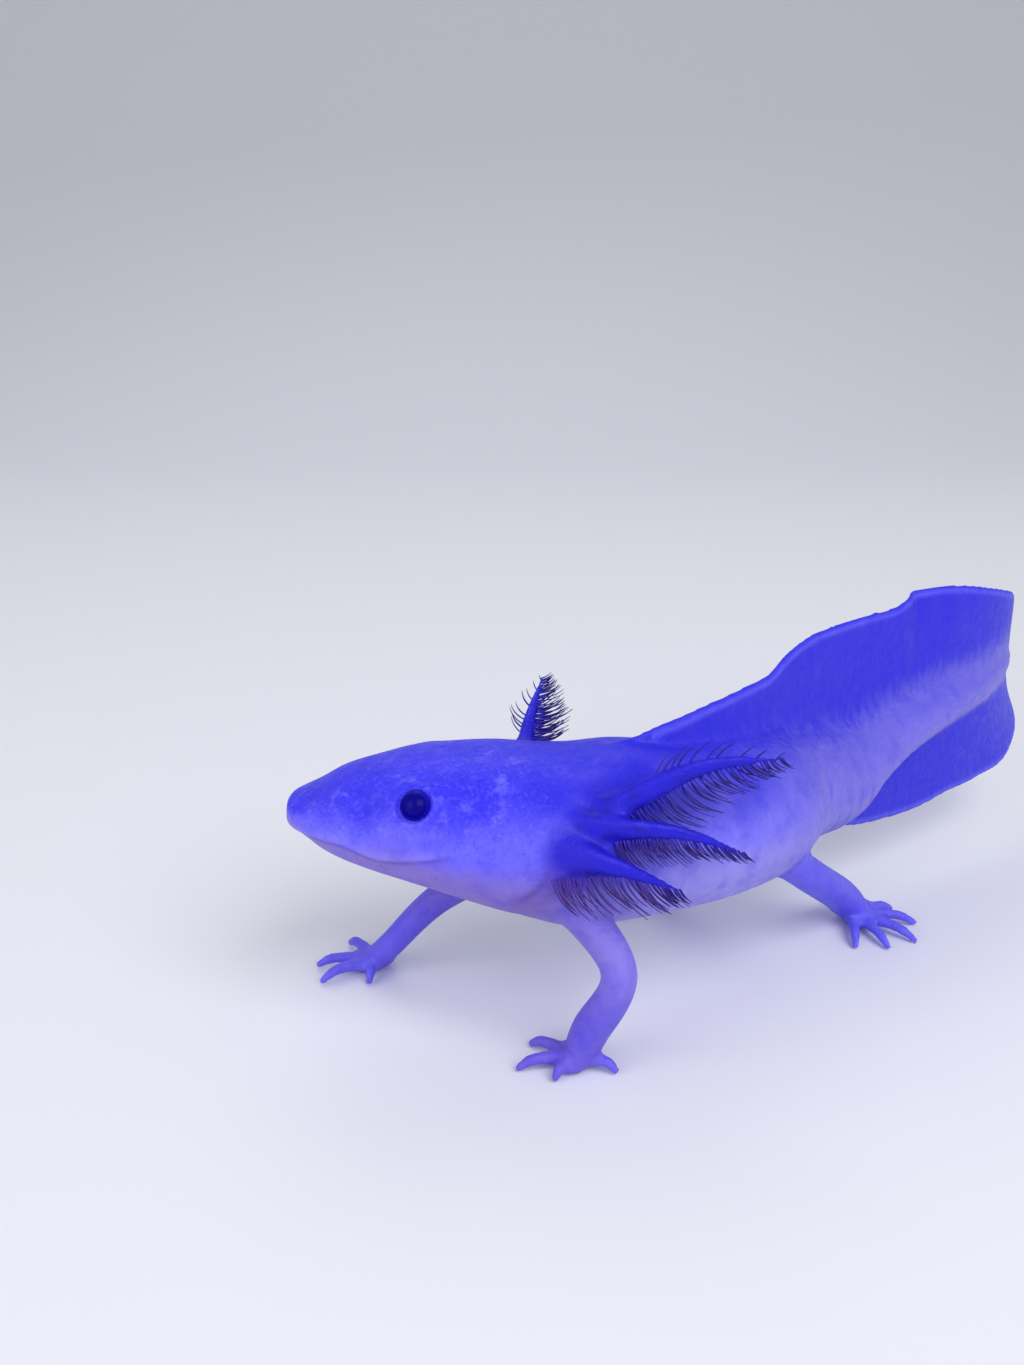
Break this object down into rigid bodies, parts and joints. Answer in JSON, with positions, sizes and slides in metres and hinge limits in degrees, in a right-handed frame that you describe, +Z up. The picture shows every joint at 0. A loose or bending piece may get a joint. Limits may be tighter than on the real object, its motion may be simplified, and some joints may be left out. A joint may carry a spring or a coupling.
{
  "type": "axolotl",
  "caption": "Life-size axolotl standing on its four feet, head turned slightly, feathery gills swept back, tall tail fin curving away at the end.",
  "frame": {"origin": "centre of the model's bounding box at the level of the soles", "axes": "+X from the head towards the tail, -Y the animal's left side, +Z up"},
  "size_m": [0.1866, 0.0936, 0.0523],
  "materials": {
    "skin": "moist satin",
    "belly": "moist satin",
    "fin": "moist satin, thin",
    "gill": "soft, moist",
    "eye": "wet gloss"
  },
  "bodies": {
    "root": {"chest": "skin", "dorsal_fin_front": "fin", "dorsal_fin_middle": "fin", "dorsal_fin_rear": "fin", "eye_left": "eye", "eye_right": "eye", "foot_hind_left": "skin", "foot_hind_right": "skin", "forearm_front_left": "skin", "forearm_front_right": "skin", "gill_left_lower": "gill", "gill_left_middle": "gill", "gill_left_upper": "gill", "gill_right_lower": "gill", "gill_right_middle": "gill", "gill_right_upper": "gill", "hand_front_left": "skin", "hand_front_right": "skin", "head": "skin", "lower_jaw": "belly", "neck": "skin", "shin_hind_left": "skin", "shin_hind_right": "skin", "tail_base": "skin", "tail_bend": "skin", "tail_front": "skin", "tail_middle": "skin", "tail_tip": "fin", "thigh_hind_left": "skin", "thigh_hind_right": "skin", "trunk": "skin", "upper_arm_front_left": "skin", "upper_arm_front_right": "skin", "ventral_fin_front": "fin", "ventral_fin_rear": "fin"}
  },
  "joints": []
}
